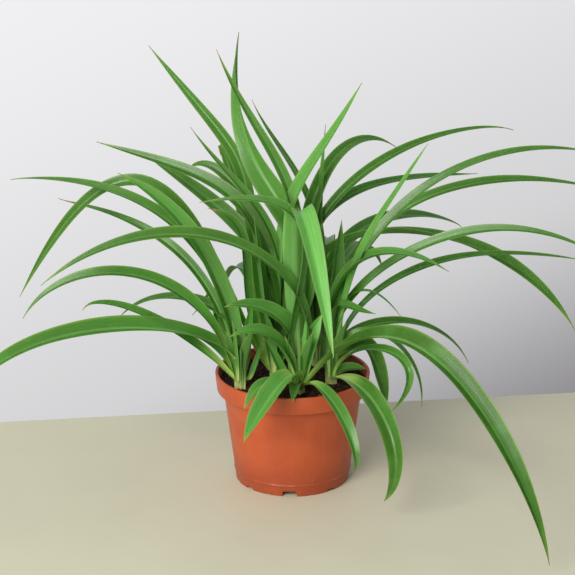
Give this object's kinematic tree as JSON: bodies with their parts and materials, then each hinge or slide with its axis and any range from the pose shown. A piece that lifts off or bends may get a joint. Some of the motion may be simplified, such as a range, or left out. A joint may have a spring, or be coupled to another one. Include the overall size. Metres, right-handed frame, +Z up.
{
  "type": "potted spider plant",
  "caption": "Green spider plant with long arching strap leaves, grown as a clump of crowns in the peat of a round tapered nursery pot with a deep rim band.",
  "frame": {"origin": "on the pot's axis, at the level of the surface that it stands on", "axes": "+Z up along the pot's axis, -Y towards the side that the plant shows, +X to the right as seen from there"},
  "size_m": [0.4885, 0.365, 0.35],
  "materials": {
    "pot_plastic": "thin moulded polypropylene, terracotta orange, semi-matte with faint vertical and turning marks",
    "peat": "dark brown-black peat compost, crumbly, with red-brown fibres and bark flecks",
    "foliage": "living leaf, mid green with fine lengthwise ribs, a low gloss and pale yellow-green bases"
  },
  "bodies": {
    "root": {"pot": "pot_plastic", "soil": "peat", "crown_left": "foliage", "crown_front": "foliage", "crown_right": "foliage", "crown_middle": "foliage", "crown_back": "foliage"}
  },
  "joints": []
}
